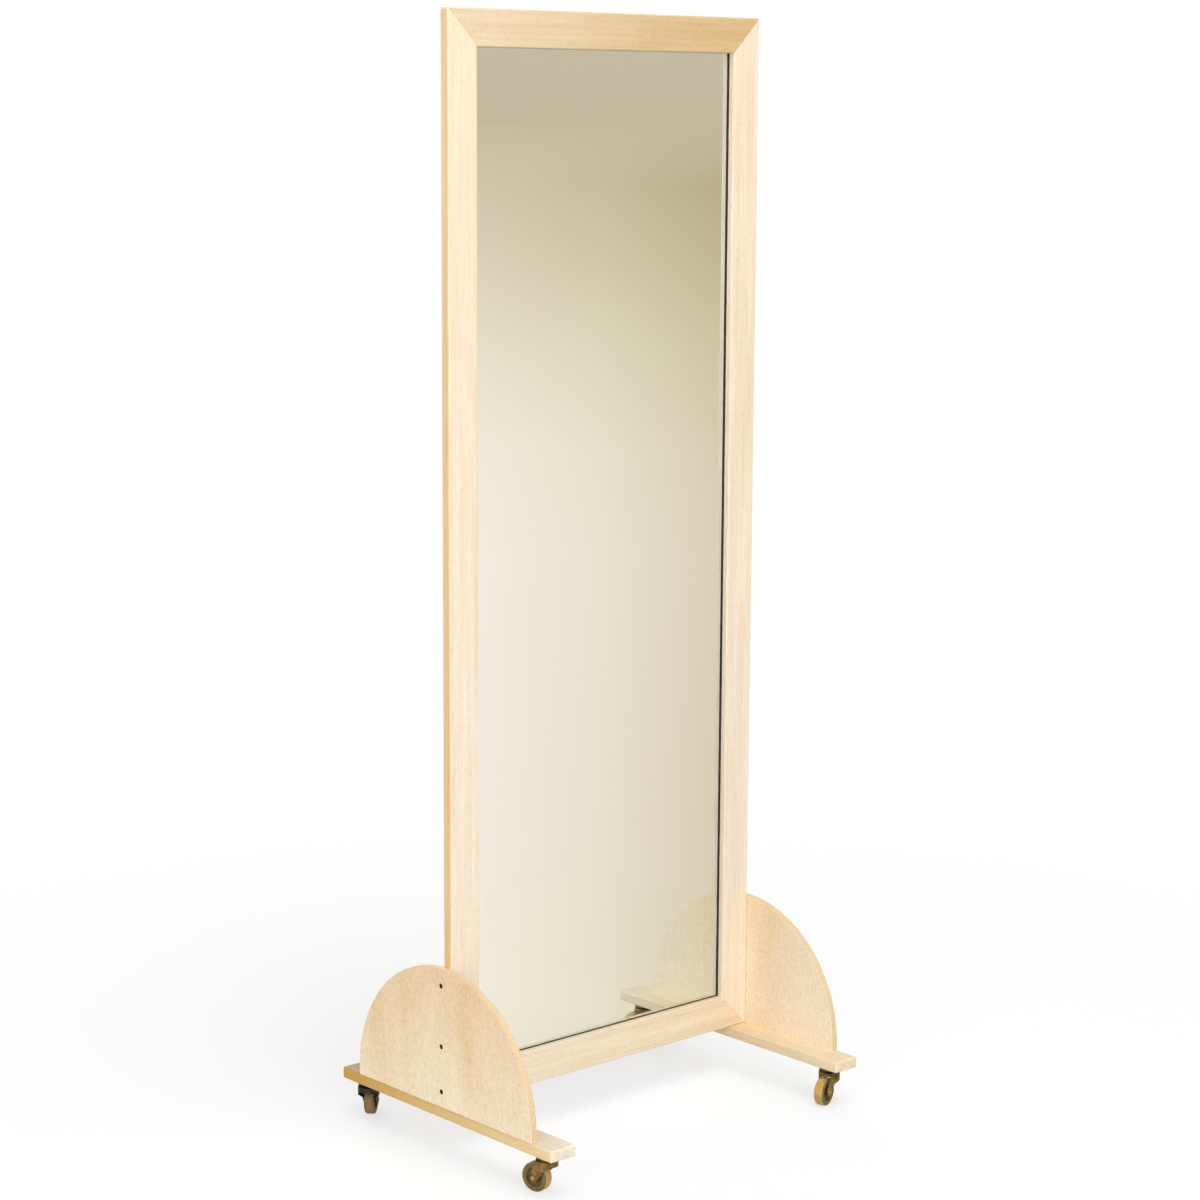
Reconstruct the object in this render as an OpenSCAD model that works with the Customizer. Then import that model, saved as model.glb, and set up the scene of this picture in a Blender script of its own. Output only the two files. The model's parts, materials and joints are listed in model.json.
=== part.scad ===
// Rolling floor mirror. A plate mirror in a mitred wooden frame stands between two
// arched end panels. Each panel stands on a foot board that rolls on two swivel castors.
// X runs across the mirror, Y from front to back, Z up. The floor is at z = 0.

/* [Frame] */
// Width of the frame over its stiles
frame_w = 698; // [500:1:900]
// Height of the frame
frame_h = 1819; // [1200:1:2000]
// Face width of the stiles and rails
rail_w = 61; // [55:1:90]
// Thickness of the lip in front of the glass
lip_t = 11; // [8:0.5:14]
// Width of the rebate behind the lip
rebate_w = 9; // [7:0.5:12]
// Radius that eases the long edges of the frame
frame_ease = 2.5; // [1:0.5:3]
// Radius of the frame's four outer corners
frame_corner = 4; // [2:0.5:8]

/* [Mirror] */
// Thickness of the mirror glass
glass_t = 6; // [4:0.5:8]
// Thickness of the foam sheet behind the glass
foam_t = 2; // [1:0.5:5]
// Gap between the edge of the glass and the rebate, which the setting blocks fill
glass_gap = 2; // [1.5:0.5:3]
// Length of a setting block under the glass
block_l = 60; // [30:1:100]

/* [Back panel] */
// Thickness of the hardboard back
back_t = 3; // [2.5:0.5:6]
// How far the back laps over the frame past the rebate
back_lap = 26; // [22:1:34]
// Screws along each tall side of the back
back_screws_tall = 6; // [3:1:9]
// Screws along the top and along the bottom of the back
back_screws_wide = 3; // [2:1:5]

/* [Mitre splines] */
// Length of the wooden spline across a mitre
spline_l = 52; // [40:1:54]
// Width of the spline, half of it in each piece
spline_w = 22; // [16:1:24]
// Thickness of the spline
spline_t = 4; // [3:0.5:5]

/* [End panels] */
// Thickness of an end panel
panel_t = 12; // [11:0.5:20]
// Radius of the arch
arch_r = 231; // [200:1:250]
// Height of the arch's centre above the foot board
arch_rise = 11; // [5:1:60]
// Radius that eases the panel's curved edges
panel_ease = 2; // [1:0.5:4]
// Height of the lowest frame screw above the foot board
screw_low = 27; // [15:1:40]
// Height of the middle frame screw above the foot board
screw_mid = 106; // [80:1:140]
// Height of the top frame screw above the foot board
screw_high = 212; // [180:1:230]

/* [Foot boards] */
// Length of a foot board
board_l = 558; // [520:1:640]
// Width of a foot board
board_w = 54; // [50:1:80]
// Thickness of a foot board
board_t = 20; // [18:1:28]
// Radius that eases the edges of the board
board_ease = 3; // [1:0.5:5]
// Screws up through each foot board into its end panel
board_screws = 4; // [2:1:5]

/* [Castor places] */
// Distance from the board's front end to the front castor plate
front_inset = 11; // [0:1:20]
// Distance from the board's rear end to the rear castor plate
rear_inset = 9; // [0:1:50]
// Direction that the front left wheel trails in, in degrees from +X
trail_front_left = 104; // [0:1:360]
// Direction that the front right wheel trails in
trail_front_right = 197; // [0:1:360]
// Direction that the rear left wheel trails in
trail_rear_left = 40; // [0:1:360]
// Direction that the rear right wheel trails in
trail_rear_right = 140; // [0:1:360]

/* [Castor plate] */
// Size of the top plate across the board
plate_w = 38; // [38:1:50]
// Size of the top plate along the board
plate_l = 60; // [56:1:64]
// Thickness of the top plate
plate_t = 2.5; // [1.5:0.5:4]
// Radius of the plate's corners
plate_corner = 6; // [2:1:9]
// Distance from the plate's edge to a mounting hole
hole_inset = 6; // [5.5:0.5:8]

/* [Castor swivel] */
// Diameter of the balls in the race
ball_d = 4; // [3:0.5:5]
// Radius of the circle that the balls run on
race_pitch_r = 12; // [11:0.5:14]
// Outer radius of the race ring on the fork
race_outer_r = 16.5; // [16:0.5:17]
// How far the cap ring over it stands out past it
cap_out = 2; // [1:0.5:2]
// Height of each race ring
race_h = 3.2; // [2.5:0.1:3.5]
// Number of balls
ball_count = 14; // [8:1:14]
// Diameter of the king rivet
king_d = 8; // [6:0.5:10]

/* [Castor hood] */
// Outer radius of the round hood at the top of the fork
hood_r = 19; // [18.5:0.5:21]
// Depth of the hood
hood_h = 10; // [8:0.5:12]
// Radius of the hood's rounded shoulder
hood_shoulder = 2.5; // [2.5:0.5:3]
// Room between the wheel and the slot in the hood's rear wall
hood_room = 1.5; // [1:0.5:3.5]
// Depth of the straight cheek below the hood, where each leg starts
cheek_h = 7; // [5:0.5:10]

/* [Castor fork and wheel] */
// Diameter of the wheel
wheel_d = 50; // [40:1:60]
// Width of the wheel's tread
wheel_w = 17; // [16:1:26]
// Thickness of the tread over the hub
tread_t = 7; // [4:0.5:9]
// Distance from the swivel axis to the axle
trail = 20; // [18:1:30]
// Room between the wheel and the fork's top
wheel_room = 6.5; // [4:0.5:10]
// Room between the tread and each leg of the fork
side_room = 1.5; // [1:0.5:3]
// Thickness of the fork's steel
fork_t = 2; // [1.5:0.5:3]
// Diameter of the axle
axle_d = 5; // [5:0.5:8]
// Radius of the fork's eye round the axle
eye_r = 8; // [7:0.5:10]

/* [Fits] */
// Radial clearance of a part that turns on a pin
run_clear = 0.05; // [0.02:0.01:0.09]
// Clearance of a spline in its slot
slot_clear = 0.1; // [0.05:0.05:0.3]
// Gap on each side of the wheel's hub
hub_gap = 0.5; // [0.3:0.1:1]
// Radial clearance of a screw in the piece that it passes through
screw_clear = 0.3; // [0.2:0.1:0.8]

/* [Hidden] */
$fn = 64;

MAPLE = [0.93, 0.80, 0.60];
PLY = [0.92, 0.78, 0.56];
STEEL = [0.16, 0.15, 0.13];
BRIGHT = [0.80, 0.68, 0.45];

// Heights, from the floor up
wheel_r = wheel_d / 2;
web_bottom = wheel_d + wheel_room;
web_top = web_bottom + fork_t;
race_gap = ball_d * 0.15;
plate_bottom = web_top + 2 * race_h + race_gap;
board_bottom = plate_bottom + plate_t;
board_top = board_bottom + board_t;
frame_bottom = board_top;
frame_mid = frame_bottom + frame_h / 2;
ball_z = web_top + race_h + race_gap / 2;

// Frame and glass
frame_t = lip_t + glass_t + foam_t;
front_y = -frame_t / 2;
opening_w = frame_w - 2 * rail_w;
opening_h = frame_h - 2 * rail_w;
glass_w = opening_w + 2 * (rebate_w - glass_gap);
glass_h = opening_h + 2 * (rebate_w - glass_gap);
glass_y = front_y + lip_t;
foam_y = glass_y + glass_t;
back_y = frame_t / 2;
back_w = opening_w + 2 * (rebate_w + back_lap);
back_h = opening_h + 2 * (rebate_w + back_lap);

// Panels, boards and castors
stile_x = frame_w / 2;
panel_mid_x = stile_x + panel_t / 2;
board_mid_x = stile_x + panel_t - board_w / 2;
front_castor_y = -board_l / 2 + front_inset + plate_l / 2;
rear_castor_y = board_l / 2 - rear_inset - plate_l / 2;

// Wood screws: shank and head diameters, and lengths
frame_screw = [4.5, 9, 45];
board_screw = [4, 8, 50];
back_screw = [3, 6.5, 14];
castor_screw = [3.5, 7, 16];
tip_l = 4;
tip_r = 0.2;
head_sink = 0.5;
recess_w = 1.1;
pan_h_share = 0.55;
pan_top_share = 0.75;
screw_y = 3;
spline_margin = 3;
spline_y = screw_y - frame_screw[0] / 2 - spline_margin - spline_t / 2;
back_corner = 6;
corner_clear = 70;
plate_clear = 35;

// Castor fork, round its swivel axis
fork_gap = wheel_w + 2 * side_room;
fork_w = fork_gap + 2 * fork_t;
hood_z = web_top - hood_h;
cheek_z = hood_z - cheek_h;
neck_z = cheek_z - (hood_r - fork_w / 2);
neck_rise = fork_t * sqrt(2) - fork_t;
leg_front = -10;
leg_back = 13;

// Race rings and the rivet through them
race_taper = 1;
race_inner_r = king_d / 2 + 3;
rivet_gap = 0.2;
rivet_head_h = 2;
rivet_head_out = 3;

// Wheel and axle
hub_r = wheel_r - tread_t;
boss_r = axle_d / 2 + 4;
rim_wall = 3;
dish_depth = 4;
tread_ease = 3;
axle_head_h = 1.5;
axle_head_out = 1.5;

// How far a cut runs past the face that it starts from
cut = 1;

// Each castor's place: x, y and the direction its wheel trails in
FRONT_LEFT = [-board_mid_x, front_castor_y, trail_front_left];
FRONT_RIGHT = [board_mid_x, front_castor_y, trail_front_right];
REAR_LEFT = [-board_mid_x, rear_castor_y, trail_rear_left];
REAR_RIGHT = [board_mid_x, rear_castor_y, trail_rear_right];

// A rectangle from x0 to x1 and z0 to z1 with its corners rounded
module eased_rect(x0, x1, z0, z1, r) {
    union() {
        translate([x0 + r, z0]) square([x1 - x0 - 2 * r, z1 - z0]);
        translate([x0, z0 + r]) square([x1 - x0, z1 - z0 - 2 * r]);
        for (x = [x0 + r, x1 - r], z = [z0 + r, z1 - r]) translate([x, z]) circle(r);
    }
}

// A countersunk wood screw: its head's top is at the origin and it points along -Z
module flat_screw(size) {
    shank_r = size[0] / 2;
    head_r = size[1] / 2;
    head_h = head_r - shank_r;
    difference() {
        union() {
            translate([0, 0, -head_h]) cylinder(r1 = shank_r, r2 = head_r, h = head_h);
            translate([0, 0, tip_l - size[2]]) cylinder(r = shank_r, h = size[2] - tip_l - head_h);
            translate([0, 0, -size[2]]) cylinder(r1 = tip_r, r2 = shank_r, h = tip_l);
        }
        cross_recess(head_r, head_h);
    }
}

// A pan head wood screw: the underside of its head is at the origin and it points along -Z
module pan_screw(size) {
    shank_r = size[0] / 2;
    head_r = size[1] / 2;
    head_h = head_r * pan_h_share;
    difference() {
        union() {
            cylinder(r1 = head_r, r2 = head_r * pan_top_share, h = head_h);
            translate([0, 0, tip_l - size[2]]) cylinder(r = shank_r, h = size[2] - tip_l);
            translate([0, 0, -size[2]]) cylinder(r1 = tip_r, r2 = shank_r, h = tip_l);
        }
        translate([0, 0, head_h]) cross_recess(head_r, head_h);
    }
}

// The cross that a driver fits in, cut down from the origin
module cross_recess(head_r, head_h) {
    for (a = [0, 90]) {
        rotate([0, 0, a]) cube([head_r, recess_w, head_h], center = true);
    }
}

// The hole that a flat screw leaves: clearance to the joint, then a pilot of its own size
module flat_screw_hole(size, joint_depth) {
    shank_r = size[0] / 2;
    head_r = size[1] / 2;
    head_h = head_r - shank_r;
    translate([0, 0, -head_h]) cylinder(r1 = shank_r, r2 = head_r, h = head_h);
    cylinder(r = head_r, h = head_sink + cut);
    translate([0, 0, -joint_depth]) cylinder(r = shank_r + screw_clear, h = joint_depth);
    pilot_hole(size);
}

module pilot_hole(size) {
    shank_r = size[0] / 2;
    translate([0, 0, tip_l - size[2]]) cylinder(r = shank_r, h = size[2] - tip_l);
    translate([0, 0, -size[2]]) cylinder(r1 = tip_r, r2 = shank_r, h = tip_l);
}

// One member of the frame along X, its outer edge at z = 0, mitred at both ends
module frame_member(length) {
    color(MAPLE) intersection() {
        rotate([90, 0, 90]) linear_extrude(length, center = true) member_profile();
        rotate([90, 0, 0]) linear_extrude(frame_t + 2 * cut, center = true) polygon([
            [-length / 2, 0], [length / 2, 0],
            [length / 2 - rail_w, rail_w], [-length / 2 + rail_w, rail_w]
        ]);
        rotate([90, 0, 0]) linear_extrude(frame_t + 2 * cut, center = true)
            eased_rect(-length / 2, length / 2, 0, 2 * rail_w, frame_corner);
    }
}

// The member's section: the rebate is cut in its inner back corner
module member_profile() {
    difference() {
        eased_rect(front_y, back_y, 0, rail_w, frame_ease);
        translate([glass_y, rail_w - rebate_w]) square([frame_t, rebate_w + cut]);
    }
}

module left_stile() {
    difference() {
        translate([-stile_x, 0, frame_mid]) rotate([0, 90, 0]) frame_member(frame_h);
        corner_splines(slot_clear);
        left_panel_screw_holes();
        back_screw_places() pilot_hole(back_screw);
    }
}

module right_stile() {
    mirror([1, 0, 0]) left_stile();
}

module bottom_rail() {
    difference() {
        translate([0, 0, frame_bottom]) frame_member(frame_w);
        corner_splines(slot_clear);
        left_panel_screw_holes();
        mirror([1, 0, 0]) left_panel_screw_holes();
        back_screw_places() pilot_hole(back_screw);
    }
}

module top_rail() {
    difference() {
        translate([0, 0, frame_bottom + frame_h]) mirror([0, 0, 1]) frame_member(frame_w);
        corner_splines(slot_clear);
        back_screw_places() pilot_hole(back_screw);
    }
}

// Lens-shaped splines let into the four mitres, grown by extra to make their slots
module corner_splines(extra) {
    for (sx = [0, 1], sz = [0, 1]) {
        translate([0, spline_y, frame_mid]) mirror([sx, 0, 0]) mirror([0, 0, sz])
            translate([-stile_x + rail_w / 2, 0, (rail_w - frame_h) / 2])
            rotate([90, -45, 0])
            linear_extrude(spline_t + 2 * extra, center = true)
            lens(spline_l, spline_w, extra);
    }
}

// Two circles crossing in a lens along X
module lens(length, width, extra) {
    lens_r = (pow(length, 2) + pow(width, 2)) / (4 * width);
    intersection() {
        translate([0, lens_r - width / 2]) circle(lens_r + extra);
        translate([0, width / 2 - lens_r]) circle(lens_r + extra);
    }
}

module mitre_splines() {
    color(MAPLE) corner_splines(0);
}

module mirror_glass() {
    color([0.75, 0.80, 0.82]) translate([0, glass_y + glass_t / 2, frame_mid])
        cube([glass_w, glass_t, glass_h], center = true);
}

// Rubber blocks that the glass stands on in the bottom rebate
module setting_blocks() {
    color([0.15, 0.15, 0.15]) for (x = [-glass_w / 4, glass_w / 4]) {
        translate([x - block_l / 2, glass_y, frame_mid - glass_h / 2 - glass_gap])
            cube([block_l, glass_t, glass_gap]);
    }
}

module foam_sheet() {
    color([0.85, 0.85, 0.82]) translate([0, foam_y + foam_t / 2, frame_mid])
        cube([glass_w, foam_t, glass_h], center = true);
}

module back_panel() {
    color([0.45, 0.30, 0.18]) difference() {
        translate([0, back_y + back_t, frame_mid]) rotate([90, 0, 0]) linear_extrude(back_t)
            eased_rect(-back_w / 2, back_w / 2, -back_h / 2, back_h / 2, back_corner);
        back_screw_places() translate([0, 0, -back_t - cut])
            cylinder(r = back_screw[0] / 2 + screw_clear, h = back_t + 2 * cut);
    }
}

// Screws round the back, each placed with its head outwards
module back_screw_places() {
    side_x = (back_w - back_lap) / 2;
    side_z = (back_h - back_lap) / 2;
    reach_x = side_x - corner_clear;
    reach_z = side_z - corner_clear;
    for (s = [-1, 1], i = [0:back_screws_tall - 1]) {
        z = -reach_z + 2 * reach_z * i / (back_screws_tall - 1);
        translate([s * side_x, back_y + back_t, frame_mid + z]) rotate([-90, 0, 0]) children();
    }
    for (s = [-1, 1], i = [0:back_screws_wide - 1]) {
        x = -reach_x + 2 * reach_x * i / (back_screws_wide - 1);
        translate([x, back_y + back_t, frame_mid + s * side_z]) rotate([-90, 0, 0]) children();
    }
}

module back_screws() {
    color(BRIGHT) back_screw_places() pan_screw(back_screw);
}

// A half-round arch on a short straight foot, its faces across X and its edges eased
module left_end_panel() {
    arch_z = board_top + arch_rise;
    color(PLY) difference() {
        translate([-panel_mid_x, 0, 0]) union() {
            translate([0, 0, board_top]) linear_extrude(arch_rise)
                eased_rect(-panel_t / 2, panel_t / 2, -arch_r, arch_r, panel_ease);
            intersection() {
                translate([0, 0, arch_z]) rotate([0, 90, 0]) rotate_extrude(angle = 360)
                    intersection() {
                        eased_rect(-arch_r, arch_r, -panel_t / 2, panel_t / 2, panel_ease);
                        translate([0, -panel_t]) square([arch_r, 2 * panel_t]);
                    }
                translate([-panel_t, -arch_r - cut, arch_z])
                    cube([2 * panel_t, 2 * (arch_r + cut), arch_r + cut]);
            }
        }
        left_panel_screw_holes();
        left_board_screw_holes();
    }
}

module right_end_panel() {
    mirror([1, 0, 0]) left_end_panel();
}

// Screws in a line up the stile, placed with their heads on the panel's outer face
module left_panel_screw_places() {
    for (z = [screw_low, screw_mid, screw_high]) {
        translate([-stile_x - panel_t + head_sink, screw_y, board_top + z]) rotate([0, -90, 0]) children();
    }
}

module left_panel_screw_holes() {
    left_panel_screw_places() flat_screw_hole(frame_screw, panel_t - head_sink);
}

module left_panel_screws() {
    color(STEEL) left_panel_screw_places() flat_screw(frame_screw);
}

module right_panel_screws() {
    mirror([1, 0, 0]) left_panel_screws();
}

// Screws up through the foot board, spread between the two castor plates
module left_board_screw_places() {
    first_y = front_castor_y + plate_l / 2 + plate_clear;
    last_y = rear_castor_y - plate_l / 2 - plate_clear;
    for (i = [0:board_screws - 1]) {
        y = first_y + (last_y - first_y) * i / (board_screws - 1);
        translate([-panel_mid_x, y, board_bottom + head_sink]) rotate([180, 0, 0]) children();
    }
}

module left_board_screw_holes() {
    left_board_screw_places() flat_screw_hole(board_screw, board_t - head_sink);
}

module left_board_screws() {
    color(STEEL) left_board_screw_places() flat_screw(board_screw);
}

module right_board_screws() {
    mirror([1, 0, 0]) left_board_screws();
}

// A block centred on X and Y that stands on z = 0, with all its edges rounded
module eased_block(width, length, height, r) {
    intersection() {
        rotate([90, 0, 0]) linear_extrude(length, center = true)
            eased_rect(-width / 2, width / 2, 0, height, r);
        linear_extrude(height) eased_rect(-width / 2, width / 2, -length / 2, length / 2, r);
        rotate([90, 0, 90]) linear_extrude(width, center = true)
            eased_rect(-length / 2, length / 2, 0, height, r);
    }
}

module left_foot_board() {
    color(MAPLE) difference() {
        translate([-board_mid_x, 0, board_bottom]) eased_block(board_w, board_l, board_t, board_ease);
        left_board_screw_holes();
        for (place = [FRONT_LEFT, REAR_LEFT]) at_plate(place) plate_screw_places() pilot_hole(castor_screw);
    }
}

module right_foot_board() {
    mirror([1, 0, 0]) left_foot_board();
}

// A castor's place is [x, y, the direction its wheel trails in]
module at_plate(place) {
    translate([place[0], place[1], 0]) children();
}

module at_fork(place) {
    translate([place[0], place[1], 0]) rotate([0, 0, place[2]]) children();
}

module plate_screw_places() {
    for (x = [-1, 1], y = [-1, 1]) {
        translate([x * (plate_w / 2 - hole_inset), y * (plate_l / 2 - hole_inset), plate_bottom])
            rotate([180, 0, 0]) children();
    }
}

module castor_plate() {
    color(STEEL) difference() {
        translate([0, 0, plate_bottom]) linear_extrude(plate_t)
            eased_rect(-plate_w / 2, plate_w / 2, -plate_l / 2, plate_l / 2, plate_corner);
        king_rivet_body();
        plate_screw_places() translate([0, 0, -plate_t - cut])
            cylinder(r = castor_screw[0] / 2 + screw_clear, h = plate_t + 2 * cut);
    }
}

// The channel that the balls run in, shared by both rings
module ball_groove() {
    rotate_extrude(angle = 360) translate([race_pitch_r, ball_z]) circle(ball_d / 2 + run_clear);
}

// The fixed race ring under the plate, a cap over the ring on the fork
module castor_race() {
    cap_r = race_outer_r + cap_out;
    color(STEEL) difference() {
        translate([0, 0, plate_bottom - race_h]) cylinder(r1 = cap_r, r2 = cap_r - race_taper, h = race_h);
        translate([0, 0, plate_bottom - race_h - cut]) cylinder(r = race_inner_r, h = race_h + 2 * cut);
        ball_groove();
    }
}

module castor_balls() {
    color("silver") for (i = [0:ball_count - 1]) {
        rotate([0, 0, 360 * i / ball_count]) translate([race_pitch_r, 0, ball_z]) sphere(d = ball_d);
    }
}

// The rivet hangs the fork from the plate: its top fills the plate's countersink
module king_rivet_body() {
    king_r = king_d / 2;
    head_z = web_bottom - rivet_gap;
    union() {
        translate([0, 0, head_z - rivet_head_h])
            cylinder(r1 = king_r + rivet_head_out / 2, r2 = king_r + rivet_head_out, h = rivet_head_h);
        translate([0, 0, head_z]) cylinder(r = king_r, h = board_bottom - head_z);
        translate([0, 0, plate_bottom]) cylinder(r1 = king_r, r2 = king_r + plate_t, h = plate_t);
    }
}

module castor_rivet() {
    color(STEEL) king_rivet_body();
}

module castor_screws() {
    color(STEEL) plate_screw_places() pan_screw(castor_screw);
}

// The outside of the hood, down to bottom_z: a flat top and a rounded shoulder
module hood_outside(bottom_z) {
    height = web_top - bottom_z;
    rotate_extrude(angle = 360) union() {
        translate([0, bottom_z]) square([hood_r - hood_shoulder, height]);
        translate([0, bottom_z]) square([hood_r, height - hood_shoulder]);
        intersection() {
            translate([hood_r - hood_shoulder, web_top - hood_shoulder]) circle(hood_shoulder);
            square([hood_r, web_top]);
        }
    }
}

// The cheeks draw in from the hood to the width of the legs
module neck_outside() {
    translate([0, 0, neck_z]) cylinder(r1 = fork_w / 2, r2 = hood_r, h = cheek_z - neck_z);
}

// The hollow inside the hood and the neck, one thickness of steel further in
module hood_inside() {
    inner_r = hood_r - fork_t;
    rotate_extrude(angle = 360) polygon([
        [0, neck_z - cut], [fork_gap / 2, neck_z - cut], [fork_gap / 2, neck_z + neck_rise],
        [inner_r, cheek_z + neck_rise], [inner_r, web_bottom], [0, web_bottom]
    ]);
}

// Where a line from a point outside touches a circle round the axle, on the given side
function tangent_point(point, side) =
    let (dx = point[0] - trail, dz = point[1] - wheel_r)
    let (a = atan2(dz, dx) + side * acos(eye_r / norm([dx, dz])))
    [trail + eye_r * cos(a), wheel_r + eye_r * sin(a)];

// A leg from the side: it tapers from the hood down to the axle's eye
module leg_side() {
    top_z = web_bottom + fork_t / 2;
    union() {
        polygon([
            [leg_front, top_z], [leg_back, top_z],
            tangent_point([leg_back, top_z], -1),
            tangent_point([leg_front, hood_z], 1),
            [leg_front, hood_z]
        ]);
        translate([trail, wheel_r]) circle(eye_r);
    }
}

// The legs with their cheeks, trimmed to the leg's side view
module fork_legs() {
    intersection() {
        rotate([90, 0, 0]) linear_extrude(2 * hood_r + 2 * cut, center = true) leg_side();
        union() {
            hood_outside(cheek_z);
            neck_outside();
            for (side = [0, 1]) mirror([0, side, 0]) translate([-hood_r, fork_gap / 2, 0])
                cube([2 * hood_r + trail, fork_t, web_top]);
        }
    }
}

// The fork is pressed from one sheet: a round hood, slotted at the rear for the wheel, whose
// cheeks draw in to a flat leg on each side
module castor_fork() {
    color(STEEL) difference() {
        union() {
            hood_outside(hood_z);
            fork_legs();
            translate([0, 0, web_top])
                cylinder(r1 = race_outer_r - race_taper, r2 = race_outer_r, h = race_h);
        }
        hood_inside();
        translate([trail, 0, wheel_r]) rotate([90, 0, 0])
            cylinder(r = wheel_r + hood_room, h = fork_gap, center = true);
        ball_groove();
        translate([0, 0, web_top]) cylinder(r = race_inner_r, h = race_h + cut);
        translate([0, 0, web_bottom - cut]) cylinder(r = king_d / 2 + run_clear, h = fork_t + 2 * cut);
        translate([trail, 0, wheel_r]) rotate([90, 0, 0])
            cylinder(r = axle_d / 2, h = fork_w + 2 * cut, center = true);
    }
}

// The axle is a rivet with a domed head on each side of the fork
module castor_axle() {
    axle_r = axle_d / 2;
    color(BRIGHT) translate([trail, 0, wheel_r]) rotate([90, 0, 0]) union() {
        cylinder(r = axle_r, h = fork_w, center = true);
        for (side = [0, 1]) mirror([0, 0, side]) translate([0, 0, fork_w / 2])
            cylinder(r1 = axle_r + axle_head_out, r2 = axle_r + axle_head_out / 2, h = axle_head_h);
    }
}

// A dished hub with a boss that runs on the axle
module castor_hub() {
    boss_w = fork_gap - 2 * hub_gap;
    color([0.12, 0.12, 0.12]) translate([trail, 0, wheel_r]) rotate([90, 0, 0]) difference() {
        union() {
            cylinder(r = hub_r, h = wheel_w, center = true);
            cylinder(r = boss_r, h = boss_w, center = true);
        }
        for (side = [0, 1]) mirror([0, 0, side]) translate([0, 0, wheel_w / 2 - dish_depth]) difference() {
            cylinder(r1 = hub_r - rim_wall, r2 = hub_r - rim_wall / 2, h = dish_depth + cut);
            translate([0, 0, -cut]) cylinder(r = boss_r, h = dish_depth + 3 * cut);
        }
        cylinder(r = axle_d / 2 + run_clear, h = boss_w + 2 * cut, center = true);
    }
}

module castor_tread() {
    color([0.60, 0.47, 0.25]) translate([trail, 0, wheel_r]) rotate([90, 0, 0]) rotate_extrude(angle = 360)
        intersection() {
            eased_rect(hub_r - tread_ease, wheel_r, -wheel_w / 2, wheel_w / 2, tread_ease);
            translate([hub_r, -wheel_w]) square([tread_t, 2 * wheel_w]);
        }
}

left_stile();
right_stile();
top_rail();
bottom_rail();
mitre_splines();
mirror_glass();
setting_blocks();
foam_sheet();
back_panel();
back_screws();
left_end_panel();
right_end_panel();
left_panel_screws();
right_panel_screws();
left_foot_board();
right_foot_board();
left_board_screws();
right_board_screws();
at_plate(FRONT_LEFT) castor_plate();  // front_left_plate
at_plate(FRONT_LEFT) castor_race();  // front_left_race
at_plate(FRONT_LEFT) castor_balls();  // front_left_balls
at_plate(FRONT_LEFT) castor_rivet();  // front_left_rivet
at_plate(FRONT_LEFT) castor_screws();  // front_left_screws
at_fork(FRONT_LEFT) castor_fork();  // front_left_fork
at_fork(FRONT_LEFT) castor_axle();  // front_left_axle
at_fork(FRONT_LEFT) castor_hub();  // front_left_hub
at_fork(FRONT_LEFT) castor_tread();  // front_left_tread
at_plate(FRONT_RIGHT) castor_plate();  // front_right_plate
at_plate(FRONT_RIGHT) castor_race();  // front_right_race
at_plate(FRONT_RIGHT) castor_balls();  // front_right_balls
at_plate(FRONT_RIGHT) castor_rivet();  // front_right_rivet
at_plate(FRONT_RIGHT) castor_screws();  // front_right_screws
at_fork(FRONT_RIGHT) castor_fork();  // front_right_fork
at_fork(FRONT_RIGHT) castor_axle();  // front_right_axle
at_fork(FRONT_RIGHT) castor_hub();  // front_right_hub
at_fork(FRONT_RIGHT) castor_tread();  // front_right_tread
at_plate(REAR_LEFT) castor_plate();  // rear_left_plate
at_plate(REAR_LEFT) castor_race();  // rear_left_race
at_plate(REAR_LEFT) castor_balls();  // rear_left_balls
at_plate(REAR_LEFT) castor_rivet();  // rear_left_rivet
at_plate(REAR_LEFT) castor_screws();  // rear_left_screws
at_fork(REAR_LEFT) castor_fork();  // rear_left_fork
at_fork(REAR_LEFT) castor_axle();  // rear_left_axle
at_fork(REAR_LEFT) castor_hub();  // rear_left_hub
at_fork(REAR_LEFT) castor_tread();  // rear_left_tread
at_plate(REAR_RIGHT) castor_plate();  // rear_right_plate
at_plate(REAR_RIGHT) castor_race();  // rear_right_race
at_plate(REAR_RIGHT) castor_balls();  // rear_right_balls
at_plate(REAR_RIGHT) castor_rivet();  // rear_right_rivet
at_plate(REAR_RIGHT) castor_screws();  // rear_right_screws
at_fork(REAR_RIGHT) castor_fork();  // rear_right_fork
at_fork(REAR_RIGHT) castor_axle();  // rear_right_axle
at_fork(REAR_RIGHT) castor_hub();  // rear_right_hub
at_fork(REAR_RIGHT) castor_tread();  // rear_right_tread
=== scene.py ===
import json
import math

import bmesh
import bpy
from mathutils import Euler, Matrix, Vector


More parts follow.
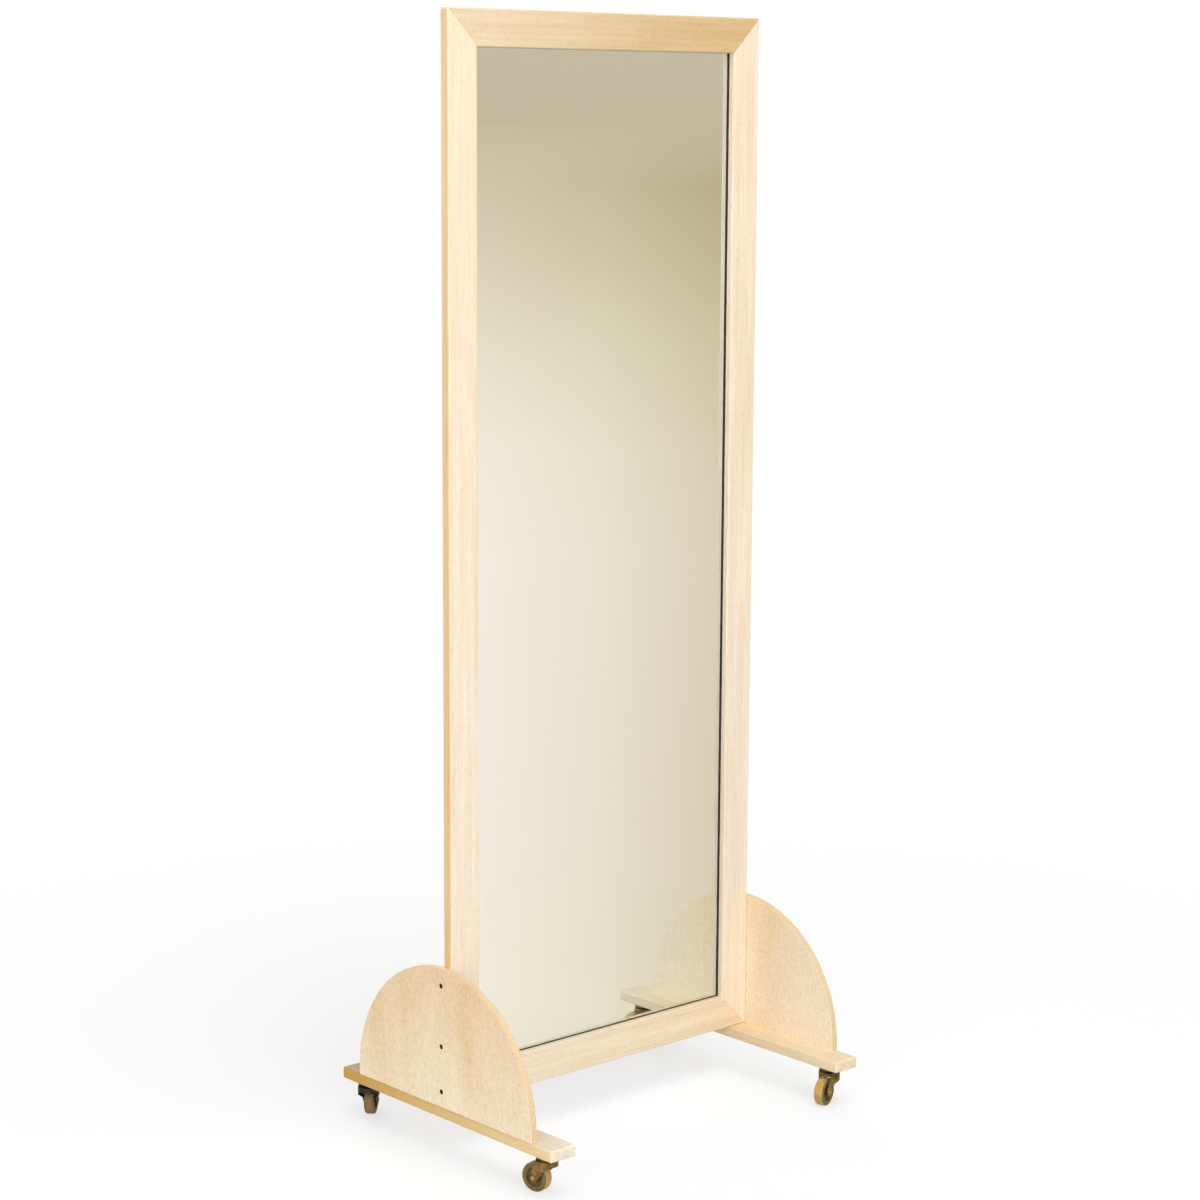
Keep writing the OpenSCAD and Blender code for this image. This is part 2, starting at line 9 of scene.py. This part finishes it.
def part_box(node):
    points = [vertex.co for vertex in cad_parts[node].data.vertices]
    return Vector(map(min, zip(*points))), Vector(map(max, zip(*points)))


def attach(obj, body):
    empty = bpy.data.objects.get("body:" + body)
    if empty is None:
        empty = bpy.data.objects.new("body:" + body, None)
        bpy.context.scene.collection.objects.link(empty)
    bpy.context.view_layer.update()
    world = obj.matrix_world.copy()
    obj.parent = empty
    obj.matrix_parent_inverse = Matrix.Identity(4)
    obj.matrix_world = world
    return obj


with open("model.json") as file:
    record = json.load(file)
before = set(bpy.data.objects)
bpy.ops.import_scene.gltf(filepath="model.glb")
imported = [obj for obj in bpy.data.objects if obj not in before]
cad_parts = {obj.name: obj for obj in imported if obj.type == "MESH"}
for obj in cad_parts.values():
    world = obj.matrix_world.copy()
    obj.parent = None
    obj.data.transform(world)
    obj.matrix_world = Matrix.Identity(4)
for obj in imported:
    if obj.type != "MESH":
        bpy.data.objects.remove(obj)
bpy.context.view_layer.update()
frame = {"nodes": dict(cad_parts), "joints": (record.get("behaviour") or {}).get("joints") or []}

# The looks of a rolling floor mirror: lacquered maple, birch plywood, plate glass and bronze castors.
# Places and sizes are in metres, and texture scales are in waves per metre.

NODES = frame["nodes"]
CASTORS = ("front_left", "front_right", "rear_left", "rear_right")


# Colours and node trees

def linear(value):
    """One sRGB channel, from 0 to 255, as linear light"""
    value /= 255
    return value / 12.92 if value <= 0.04045 else ((value + 0.055) / 1.055) ** 2.4


def srgb(red, green, blue):
    """A colour given as 0 to 255 in sRGB, as the linear RGBA that a socket takes"""
    return (linear(red), linear(green), linear(blue), 1.0)


class Tree:
    """A node tree with short calls for the nodes that the looks use"""

    def __init__(self, tree):
        self.nodes = tree.nodes
        self.links = tree.links

    def feed(self, socket, value):
        if isinstance(value, bpy.types.NodeSocket):
            self.links.new(value, socket)
        else:
            socket.default_value = value

    def add(self, kind, inputs=(), **settings):
        node = self.nodes.new(kind)
        for name, value in settings.items():
            setattr(node, name, value)
        for name, value in dict(inputs).items():
            self.feed(node.inputs[name], value)
        return node

    def math(self, operation, first, second=0.0, clamp=False):
        node = self.add("ShaderNodeMath", {0: first, 1: second}, operation=operation, use_clamp=clamp)
        return node.outputs[0]

    def vector(self, operation, first, second=(0.0, 0.0, 0.0)):
        return self.add("ShaderNodeVectorMath", {0: first, 1: second}, operation=operation).outputs

    def mix(self, share, first, second, mode="MIX"):
        node = self.add(
            "ShaderNodeMix", {0: share, 6: first, 7: second}, data_type="RGBA", blend_type=mode
        )
        return node.outputs[2]

    def spread(self, value, low, high, to_low=0.0, to_high=1.0):
        """A value from low to high, clamped and brought to the range from to_low to to_high"""
        node = self.add(
            "ShaderNodeMapRange",
            {"Value": value, "From Min": low, "From Max": high, "To Min": to_low, "To Max": to_high},
        )
        return node.outputs["Result"]

    def ramp(self, value, *stops):
        node = self.add("ShaderNodeValToRGB", {"Fac": value})
        points = node.color_ramp.elements
        while len(points) < len(stops):
            points.new(1.0)
        for point, (at, colour) in zip(points, stops):
            point.position = at
            point.color = colour
        return node.outputs["Color"]

    def place(self):
        return self.add("ShaderNodeTexCoord").outputs["Object"]

    def normal(self):
        return self.add("ShaderNodeTexCoord").outputs["Normal"]

    def parts(self, vector):
        return self.add("ShaderNodeSeparateXYZ", {0: vector}).outputs

    def noise(self, scales, detail=2.0, rough=0.5, bend=0.0, shift=(0.0, 0.0, 0.0)):
        """Noise over the object, with its own scale along x, y and z"""
        spot = self.add("ShaderNodeMapping", {"Vector": self.place(), "Scale": scales, "Location": shift})
        node = self.add(
            "ShaderNodeTexNoise",
            {
                "Vector": spot.outputs[0],
                "Scale": 1.0,
                "Detail": detail,
                "Roughness": rough,
                "Distortion": bend,
            },
        )
        return node.outputs["Fac"]

    def even_noise(self, scale, detail=2.0, rough=0.5, bend=0.0):
        """Noise over the object, with one scale in all directions"""
        return self.noise((scale, scale, scale), detail, rough, bend)


SOCKETS = {
    "roughness": "Roughness",
    "metallic": "Metallic",
    "ior": "IOR",
    "specular": "Specular IOR Level",
    "transmission": "Transmission Weight",
}

# Noise lies mostly between these two values, so gloss runs from the one to the other
NOISE_LOW = 0.3
NOISE_HIGH = 0.7


class Look(Tree):
    """A material whose one shader is Principled"""

    def __init__(self, name, **sockets):
        self.material = bpy.data.materials.new(name)
        self.material.use_nodes = True
        super().__init__(self.material.node_tree)
        self.shader = self.nodes["Principled BSDF"]
        for socket, value in sockets.items():
            self.feed(self.shader.inputs[SOCKETS[socket]], value)

    def colour(self, value):
        self.feed(self.shader.inputs["Base Color"], value)

    def roughness(self, pattern, low, high):
        """Roughness from low to high, as a noise has it"""
        self.feed(self.shader.inputs["Roughness"], self.spread(pattern, NOISE_LOW, NOISE_HIGH, low, high))

    def bump(self, height, depth, strength):
        node = self.add("ShaderNodeBump", {"Height": height, "Distance": depth, "Strength": strength})
        self.feed(self.shader.inputs["Normal"], node.outputs[0])

    def wear(self, *names):
        """Puts the material on the CAD nodes of these names"""
        for name in names:
            slots = NODES[name].data.materials
            slots.clear()
            slots.append(self.material)


# Wood

# Patterns in the wood: the scales along and across the grain, then detail, roughness and bend
MAPLE_PATTERNS = {
    "figure": (1.6, 22, 3, 0.55, 0.8),
    "bands": (3.0, 90, 3, 0.6, 0.3),
    "fibres": (14, 700, 3, 0.65, 0.0),
    "flecks": (130, 1500, 1, 0.5, 0.0),
    "mottle": (110, 190, 3, 0.7, 0.0),
}
PLYWOOD_PATTERNS = {
    "cloud": (2.5, 9, 3, 0.6, 0.6),
    "fibres": (30, 520, 3, 0.7, 0.0),
    "flecks": (420, 900, 1, 0.5, 0.0),
    "mottle": (120, 190, 3, 0.7, 0.0),
}

# How far the next piece's patterns lie along x, y and z, so that no two pieces look alike
MAPLE_STEP = (3.7, 1.9, 5.3)
PLYWOOD_STEP = (2.3, 4.1, 1.7)

FIBRE_TINT = srgb(220, 190, 148)
FLECK_TINT = srgb(202, 166, 118)

# What darkens the wood: the pattern, where in it the tint starts and is full, its strength, its tint
MAPLE_STAINS = (
    ("bands", 0.38, 0.66, 0.22, FIBRE_TINT),
    ("fibres", 0.40, 0.70, 0.22, FIBRE_TINT),
    ("flecks", 0.64, 0.74, 0.35, FLECK_TINT),
    ("mottle", 0.45, 0.75, 0.18, FIBRE_TINT),
)
MAPLE_SIDE_STAINS = (
    ("bands", 0.30, 0.70, 0.40, FIBRE_TINT),
    ("fibres", 0.40, 0.70, 0.30, FIBRE_TINT),
)
PLYWOOD_STAINS = (
    ("fibres", 0.40, 0.72, 0.20, FIBRE_TINT),
    ("flecks", 0.60, 0.70, 0.40, FLECK_TINT),
    ("mottle", 0.42, 0.72, 0.34, FIBRE_TINT),
)
PLYWOOD_EDGE_STAINS = (("flecks", 0.50, 0.70, 0.30, FLECK_TINT),)

WOOD_SPECULAR = 0.3
PLIES = 9
PLY_DARK = srgb(204, 166, 112)
PLY_LIGHT = srgb(248, 231, 200)

# Faces further out than this, on both sides, are the object's own left and right side
SIDE_FROM = 0.33


def wood_patterns(look, kinds, axis, seed, step):
    """The wood's noises by name, with their fibres along an axis"""
    found = {}
    for name, (lengthwise, across, detail, rough, bend) in kinds.items():
        scales = tuple(lengthwise if side == axis else across for side in "xyz")
        shift = tuple(seed * part for part in step)
        found[name] = look.noise(scales, detail, rough, bend, shift)
    return found


def stained(look, body, patterns, stains):
    """A colour with the patterns' tints multiplied into it"""
    for name, start, full, strength, tint in stains:
        share = look.spread(patterns[name], start, full, 0.0, strength)
        body = look.mix(share, body, tint, "MULTIPLY")
    return body


def facing_sideways(look):
    """1 on faces that look to the left or the right, 0 on the rest"""
    return look.spread(look.math("ABSOLUTE", look.parts(look.normal())[0]), 0.55, 0.85)


def outermost(look):
    """1 on what lies at the object's left or right side, 0 further in"""
    return look.math("GREATER_THAN", look.math("ABSOLUTE", look.parts(look.place())[0]), SIDE_FROM)


def maple(node, axis, seed, pale, tan, side_shades, end_shade=0.0):
    """Clear-lacquered maple with its fibres along an axis. The two side tones are painted shade on its
    outer side faces, at the low and the high end of that axis, and the last argument says how much tanner
    the high end is painted, as shade"""
    look = Look("maple_" + node, specular=WOOD_SPECULAR)
    patterns = wood_patterns(look, MAPLE_PATTERNS, axis, seed, MAPLE_STEP)
    low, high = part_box(node)
    length = "xyz".index(axis)
    reach = look.spread(look.parts(look.place())[length], low[length], high[length])
    figure = look.spread(patterns["figure"], 0.35, 0.68, 0.0, 0.4 - end_shade / 4)
    # The wood's own figure, plus the high end painted tanner as shade
    tan_share = look.math("ADD", figure, look.math("MULTIPLY", reach, end_shade), clamp=True)
    body = stained(look, look.mix(tan_share, pale, tan), patterns, MAPLE_STAINS)
    # Painted shade on the outer side faces: their own tanner tones, which change along the axis
    side = look.mix(look.math("POWER", reach, 0.6), *side_shades)
    side = stained(look, side, patterns, MAPLE_SIDE_STAINS)
    side_shade_mask = look.math("MULTIPLY", facing_sideways(look), outermost(look))
    look.colour(look.mix(side_shade_mask, body, side))
    look.roughness(patterns["fibres"], 0.36, 0.48)
    look.bump(patterns["fibres"], 0.00015, 0.35)
    look.wear(node)


def plywood(node, seed, pale, tan):
    """Birch plywood: plain faces with upright fibres, tanner at the top, and plies in the edges"""
    look = Look("plywood_" + node, specular=WOOD_SPECULAR)
    patterns = wood_patterns(look, PLYWOOD_PATTERNS, "z", seed, PLYWOOD_STEP)
    low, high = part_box(node)
    x, _, z = look.parts(look.place())
    cloud = look.spread(patterns["cloud"], 0.32, 0.70, 0.0, 0.6)
    tan_share = look.math("ADD", cloud, look.spread(z, low.z, high.z, 0.0, 0.55), clamp=True)
    face = stained(look, look.mix(tan_share, pale, tan), patterns, PLYWOOD_STAINS)
    turns_per_metre = math.tau * PLIES / (2 * (high.x - low.x))
    turns = look.math("MULTIPLY", look.math("SUBTRACT", x, low.x), turns_per_metre)
    plies = look.spread(look.math("COSINE", turns), -0.3, 0.3)
    edge = stained(look, look.mix(plies, PLY_DARK, PLY_LIGHT), patterns, PLYWOOD_EDGE_STAINS)
    look.colour(look.mix(facing_sideways(look), edge, face))
    look.roughness(patterns["fibres"], 0.38, 0.52)
    look.bump(patterns["fibres"], 0.00012, 0.3)
    look.wear(node)


def dress_wood():
    """Each board has its own tones: the tree's, and painted shade: tanner outer side faces, and a tanner
    high end
    """
    stile_tan = srgb(235, 212, 178)
    # The side tones are painted shade on the outer side faces: tanner than the fronts, and on the left
    # stile and the left foot board darker towards one end
    even_side_shade = (srgb(240, 208, 156), srgb(240, 208, 156))
    stile_side_shade = (srgb(238, 206, 152), srgb(250, 222, 176))
    board_side_shade = (srgb(252, 234, 187), srgb(206, 167, 82))
    # Painted shade: the last number paints the high end tanner, at the top of the stiles, the right end of
    # the rails and the rear of the foot boards
    maple("left_stile", "z", 1, srgb(246, 236, 218), stile_tan, stile_side_shade, 0.35)
    maple("right_stile", "z", 2, srgb(248, 239, 222), stile_tan, even_side_shade, 0.35)
    maple("top_rail", "x", 3, srgb(228, 213, 184), srgb(205, 173, 117), even_side_shade, 0.75)
    maple("bottom_rail", "x", 4, srgb(254, 243, 220), srgb(226, 202, 160), even_side_shade, 0.45)
    # Painted shadow: the left foot board's rear end, behind the end panel, is painted dark golden brown
    maple("left_foot_board", "y", 5, srgb(251, 243, 228), srgb(172, 132, 44), board_side_shade, 0.95)
    maple("right_foot_board", "y", 6, srgb(243, 229, 200), srgb(206, 166, 104), even_side_shade, 0.4)
    maple("mitre_splines", "x", 7, srgb(246, 234, 210), srgb(235, 216, 182), even_side_shade)
    plywood("left_end_panel", 1, srgb(253, 242, 216), srgb(238, 209, 164))
    plywood("right_end_panel", 2, srgb(251, 240, 218), srgb(242, 220, 183))


# Mirror and back

SILVER_DEPTH = 0.00015
SILVER_THICKNESS = 0.00005
SILVER_MARGIN = 0.0002
SILVER_CORNER = 0.004


def dress_glass():
    """Clear float glass with a faint green cast"""
    look = Look("float_glass", roughness=0.0, ior=1.52, transmission=1.0)
    waves = look.even_noise(3, detail=1)
    look.colour(look.mix(waves, (0.955, 0.98, 0.968, 1), (0.965, 0.985, 0.975, 1)))
    look.wear("mirror_glass")


def silver_mesh():
    """A film inside the back face of the glass, with small round corners"""
    low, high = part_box("mirror_glass")
    size = high - low
    middle = (low + high) / 2
    build = bmesh.new()
    bmesh.ops.create_cube(build, size=1.0)
    film = (size.x - 2 * SILVER_MARGIN, SILVER_THICKNESS, size.z - 2 * SILVER_MARGIN)
    bmesh.ops.scale(build, vec=film, verts=build.verts)
    bmesh.ops.translate(build, vec=(middle.x, high.y - SILVER_DEPTH, middle.z), verts=build.verts)
    corners = []
    for edge in build.edges:
        front, back = edge.verts
        if abs(front.co.y - back.co.y) > SILVER_THICKNESS / 2:
            corners.append(edge)
    bmesh.ops.bevel(build, geom=corners, offset=SILVER_CORNER, segments=5, affect="EDGES")
    mesh = bpy.data.meshes.new("silver")
    build.to_mesh(mesh)
    build.free()
    return mesh


def make_silver():
    """The silver is a piece of its own, because the CAD's glass and silver are one solid"""
    silver = put("silver", silver_mesh())
    look = Look("silver", metallic=1.0)
    haze = look.even_noise(6, detail=3)
    look.colour(look.mix(haze, (0.86, 0.92, 0.965, 1), (0.87, 0.93, 0.975, 1)))
    look.roughness(haze, 0.0, 0.012)
    silver.data.materials.append(look.material)
    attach(silver, "root")


def dress_back():
    """Smooth brown hardboard, and the white foam and the rubber blocks that it hides"""
    board = Look("hardboard", specular=0.35)
    fibres = board.even_noise(260, detail=4, rough=0.7, bend=1.2)
    cloud = board.even_noise(5, detail=3)
    brown = board.mix(board.spread(cloud, NOISE_LOW, NOISE_HIGH), srgb(126, 90, 56), srgb(138, 99, 62))
    board.colour(board.mix(board.spread(fibres, 0.35, 0.7, 0.0, 0.55), brown, srgb(176, 134, 88)))
    board.roughness(fibres, 0.48, 0.66)
    board.bump(fibres, 0.0002, 0.4)
    board.wear("back_panel")

    foam = Look("foam", roughness=0.9)
    cells = foam.add("ShaderNodeTexVoronoi", {"Vector": foam.place(), "Scale": 700.0}).outputs["Distance"]
    foam.colour(foam.mix(foam.spread(cells, 0.2, 0.9), srgb(238, 238, 234), srgb(214, 214, 208)))
    foam.bump(cells, 0.0003, 0.5)
    foam.wear("foam_sheet")

    rubber = Look("black_rubber", specular=0.3)
    dust = rubber.even_noise(180, detail=4, rough=0.7)
    rubber.colour(rubber.mix(rubber.spread(dust, 0.4, 0.75, 0.0, 0.6), srgb(22, 22, 22), srgb(58, 56, 52)))
    rubber.roughness(dust, 0.65, 0.85)
    rubber.wear("setting_blocks")


# Metal

GRIT_FINER = 9


def metal(name, dark, light, gloss, metallic=1.0, scale=120):
    """Plated or blackened steel. gloss is its lowest and its highest roughness, and scale is that
    of the cloud in its tone"""
    look = Look(name, metallic=metallic)
    cloud = look.even_noise(scale, detail=4, rough=0.6)
    grit = look.even_noise(scale * GRIT_FINER, detail=2, rough=0.6)
    tone = look.mix(look.spread(cloud, 0.32, 0.68), dark, light)
    look.colour(look.mix(look.spread(grit, 0.55, 0.8, 0.0, 0.35), tone, light))
    look.roughness(cloud, *gloss)
    look.bump(grit, 0.00005, 0.4)
    return look


def dress_metal():
    """Zinc at the back, black screws, bronze castors in front, and behind them nearly black ones whose
    darker bronze is painted shade
    """
    zinc = metal("zinc_plate", srgb(150, 148, 138), srgb(196, 194, 184), (0.30, 0.45))
    black = metal("black_phosphate", srgb(24, 22, 20), srgb(52, 47, 42), (0.45, 0.62), metallic=0.6)
    bronze = metal("dark_bronze", srgb(62, 54, 32), srgb(158, 134, 76), (0.34, 0.52), 0.85, 60)
    # Painted shade: the rear castors' plating is a darker copy of the front's bronze
    shaded = metal("shaded_bronze", srgb(30, 31, 29), srgb(72, 68, 54), (0.38, 0.56), 0.85, 60)
    copper = metal("copper_rivet", srgb(150, 114, 72), srgb(206, 168, 118), (0.25, 0.4), scale=90)
    steel = metal("ball_steel", srgb(188, 188, 190), srgb(208, 208, 210), (0.12, 0.2), scale=200)
    zinc.wear("back_screws")
    black.wear("left_panel_screws", "right_panel_screws", "left_board_screws", "right_board_screws")
    for castor in CASTORS:
        # The rear castors wear painted shade: the darker copy of the bronze on their plating, and the
        # front's bronze instead of copper on their axles
        plating, axle = (bronze, copper) if castor.startswith("front") else (shaded, bronze)
        plating.wear(*(castor + part for part in ("_plate", "_race", "_fork", "_rivet")))
        axle.wear(castor + "_axle")
        black.wear(castor + "_screws")
        steel.wear(castor + "_balls")


# Wheels

WHEEL_SPECULAR = 0.4
FRONT_TREAD = (srgb(174, 132, 66), srgb(210, 168, 96))
# Painted shade: the rear castors' tread tones are a darker, browner copy of the front's
REAR_TREAD_SHADE = (srgb(104, 84, 50), srgb(142, 112, 66))
TREAD_WALL = (srgb(84, 72, 40), srgb(132, 112, 64))
TREAD_GRIME = srgb(92, 74, 44)
HUB_RIM = (srgb(84, 74, 42), srgb(128, 110, 64))
# Painted shade deep in the hub's dish
HUB_DISH_SHADE = (srgb(32, 34, 28), srgb(86, 76, 48))

# The hub is painted darkest, as shade deep in its dish, up to the first distance from its middle, and has
# its rim's tone from the second
DISH_SHADE_END = 0.010
RIM_START = 0.018


def dress_tread(castor):
    """A tan tread that is darker on its side walls and flecked with grime, and browner on the rear castors
    as painted shade
    """
    look = Look(castor + "_tread_look", specular=WHEEL_SPECULAR)
    axle = next(joint["axis"] for joint in frame["joints"] if joint["name"] == castor + "_roll")
    facing = look.math("ABSOLUTE", look.vector("DOT_PRODUCT", look.normal(), tuple(axle))["Value"])
    cloud = look.even_noise(90, detail=4, rough=0.65)
    grit = look.even_noise(900, detail=2)
    share = look.spread(cloud, NOISE_LOW, NOISE_HIGH)
    # The rear castors take the darker tread tones as painted shade
    tread = look.mix(share, *(FRONT_TREAD if castor.startswith("front") else REAR_TREAD_SHADE))
    wall = look.mix(share, *TREAD_WALL)
    body = look.mix(look.spread(facing, 0.55, 0.85), tread, wall)
    look.colour(look.mix(look.spread(grit, 0.5, 0.75, 0.0, 0.5), body, TREAD_GRIME))
    look.roughness(cloud, 0.5, 0.7)
    look.bump(grit, 0.0001, 0.4)
    look.wear(castor + "_tread")


def dress_hub(castor):
    """A moulded hub with painted shade deep in its dish"""
    look = Look(castor + "_hub_look", specular=WHEEL_SPECULAR)
    low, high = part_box(castor + "_tread")
    offset = look.vector("SUBTRACT", look.place(), tuple((low + high) / 2))["Vector"]
    cloud = look.even_noise(110, detail=4, rough=0.65)
    rim = look.mix(look.spread(cloud, NOISE_LOW, NOISE_HIGH), *HUB_RIM)
    # Painted shade: the dark tones deep in the dish
    dish = look.mix(look.spread(cloud, 0.35, 0.65), *HUB_DISH_SHADE)
    outward = look.spread(look.vector("LENGTH", offset)["Value"], DISH_SHADE_END, RIM_START)
    look.colour(look.mix(outward, dish, rim))
    look.roughness(cloud, 0.4, 0.6)
    look.bump(cloud, 0.0002, 0.3)
    look.wear(castor + "_hub")


# Studio

FLOOR_REACH = 400.0
AMBIENT = 0.58
PALE = (1.0, 1.0, 1.0, 1.0)
DIM = (AMBIENT, AMBIENT, AMBIENT, 1.0)

# The floor takes lamplight and shadow near the object, and is plain white from FLOOR_WHITE on
FLOOR_TONE = (0.95, 0.95, 0.95, 1)
FLOOR_LIT = 0.5
FLOOR_WHITE = 2.2
FLOOR_GLOW = 0.62

# The room that reflections show is lit from its left and darkens far away. ROOM_LEFT is the place
# that its fall-off fans out from, ROOM_ACROSS points to its right, and ROOM_NEAR and ROOM_STEEP
# say how its tone changes with the distance along the floor
ROOM_LEFT = (-3.237, 3.582, 0.0)
ROOM_ACROSS = (0.743, 0.669, 0.0)
ROOM_NEAR = 4.83
ROOM_STEEP = 5.8
ROOM_WARMTH = (1.10, 1.04, 1.0)

LAMP_TARGET = (0.0, 0.0, 0.8)

# Each lamp's place, its diameter and its power in watts
LAMPS = {
    "key": ((-2.6, -6.2, 2.2), 3.0, 134),
    "left_fill": ((-5.6, -2.2, 1.6), 3.0, 85),
    "top_fill": ((-0.4, -1.6, 4.6), 2.6, 80),
    "back_fill": ((2.0, 5.0, 2.6), 3.0, 65),
}

# The camera stands at the photograph's place. Its angles are in degrees, its lens in millimetres
CAMERA_PLACE = (-3.237, -3.582, 1.7385)
CAMERA_AZIMUTH = 42.02
CAMERA_DOWN = 9.66
CAMERA_ROLL = 0.30
CAMERA_LENS = 85.35
CAMERA_SENSOR = 36.0
CAMERA_FAR = 200.0


def put(name, data):
    """A new object in the scene"""
    piece = bpy.data.objects.new(name, data)
    bpy.context.scene.collection.objects.link(piece)
    return piece


def reflected(tree):
    """1 for rays that a mirror, metal or glass sends on, 0 for the rest"""
    path = tree.add("ShaderNodeLightPath").outputs
    return tree.math("MAXIMUM", path["Is Glossy Ray"], path["Is Transmission Ray"])


def backdrop(tree, room):
    """White to the eye, the room in reflections, and an even dim light on everything else"""
    seen = tree.add("ShaderNodeLightPath").outputs["Is Camera Ray"]
    return tree.mix(seen, tree.mix(reflected(tree), DIM, room), PALE)


def warmed(tree, tone):
    """A tone as the room has it, warmer than the mirror's silver lets it through"""
    return tree.vector("MULTIPLY", tone, ROOM_WARMTH)["Vector"]


def room_tone(tree, slope):
    """The tone at the room's bright side, from far away to close by"""
    tone = tree.ramp(
        slope,
        (0.00, srgb(203, 190, 164)),
        (0.04, srgb(211, 198, 172)),
        (0.16, srgb(226, 213, 188)),
        (0.27, srgb(240, 230, 208)),
        (0.39, srgb(251, 240, 224)),
        (0.51, srgb(253, 242, 230)),
        (0.86, srgb(252, 240, 228)),
        (1.00, srgb(248, 238, 222)),
    )
    return warmed(tree, tone)


def room_shade(tree, slope):
    """The room's fall-off towards its right, which fades out far away"""
    spot = tree.vector("SUBTRACT", tree.place(), ROOM_LEFT)["Vector"]
    way = tree.vector("NORMALIZE", spot)["Vector"]
    aside = tree.vector("DOT_PRODUCT", way, ROOM_ACROSS)["Value"]
    tint = tree.ramp(
        tree.spread(aside, -0.045, 0.045),
        (0.0, PALE),
        (0.5, (0.90, 0.91, 0.85, 1)),
        (1.0, (0.76, 0.74, 0.63, 1)),
    )
    return tree.mix(tree.spread(slope, 0.0, 0.08), PALE, tint)


def make_floor():
    """A pale floor that runs out to white and keeps the object's shadow"""
    mesh = bpy.data.meshes.new("floor")
    r = FLOOR_REACH
    mesh.from_pydata([(-r, -r, 0), (r, -r, 0), (r, r, 0), (-r, r, 0)], [], [(0, 1, 2, 3)])
    floor = put("floor", mesh)
    material = bpy.data.materials.new("floor")
    material.use_nodes = True
    tree = Tree(material.node_tree)
    tree.nodes.clear()
    distance = tree.vector("LENGTH", tree.place())["Value"]
    slope = tree.math("DIVIDE", ROOM_STEEP, tree.math("ADD", distance, ROOM_NEAR))
    room = tree.mix(1.0, room_tone(tree, slope), room_shade(tree, slope), "MULTIPLY")
    near = tree.mix(reflected(tree), FLOOR_TONE, room)
    lit = tree.add("ShaderNodeBsdfDiffuse", {"Color": near}).outputs[0]
    glow = tree.add("ShaderNodeEmission", {"Color": backdrop(tree, room)}).outputs[0]
    away = tree.spread(distance, FLOOR_LIT, FLOOR_WHITE, FLOOR_GLOW, 1.0)
    surface = tree.add("ShaderNodeMixShader", {0: away, 1: lit, 2: glow}).outputs[0]
    tree.add("ShaderNodeOutputMaterial", {"Surface": surface})
    mesh.materials.append(material)


def make_world():
    """White behind the object, a soft even light on it, and the same room in what it reflects"""
    world = bpy.data.worlds.new("studio")
    bpy.context.scene.world = world
    world.use_nodes = True
    tree = Tree(world.node_tree)
    way = tree.add("ShaderNodeTexCoord").outputs["Generated"]
    room = tree.ramp(
        tree.spread(tree.parts(way)[2], -1.0, 1.0),
        (0.50, srgb(203, 190, 164)),
        (0.60, srgb(210, 202, 184)),
        (0.85, srgb(242, 240, 234)),
    )
    background = tree.nodes["Background"]
    tree.feed(background.inputs["Color"], backdrop(tree, warmed(tree, room)))
    tree.feed(background.inputs["Strength"], 1.0)


def make_lamp(name, place, size, watts):
    """A round area lamp that points at the object"""
    light = bpy.data.lights.new(name, "AREA")
    light.shape = "DISK"
    light.size = size
    light.energy = watts
    lamp = put(name, light)
    lamp.location = place
    way = Vector(LAMP_TARGET) - Vector(place)
    lamp.rotation_euler = way.to_track_quat("-Z", "Y").to_euler()


def make_camera():
    data = bpy.data.cameras.new("camera")
    data.sensor_width = CAMERA_SENSOR
    data.lens = CAMERA_LENS
    data.clip_end = CAMERA_FAR
    camera = put("camera", data)
    turn = Euler((math.radians(90 - CAMERA_DOWN), 0, -math.radians(CAMERA_AZIMUTH))).to_matrix()
    camera.matrix_world = (
        Matrix.Translation(CAMERA_PLACE)
        @ turn.to_4x4()
        @ Matrix.Rotation(math.radians(CAMERA_ROLL), 4, "Z")
    )
    bpy.context.scene.camera = camera


make_camera()
dress_wood()
dress_glass()
make_silver()
dress_back()
dress_metal()
for castor in CASTORS:
    dress_tread(castor)
    dress_hub(castor)
make_floor()
make_world()
for name, (place, size, watts) in LAMPS.items():
    make_lamp(name, place, size, watts)
bpy.context.scene.view_settings.view_transform = "Standard"
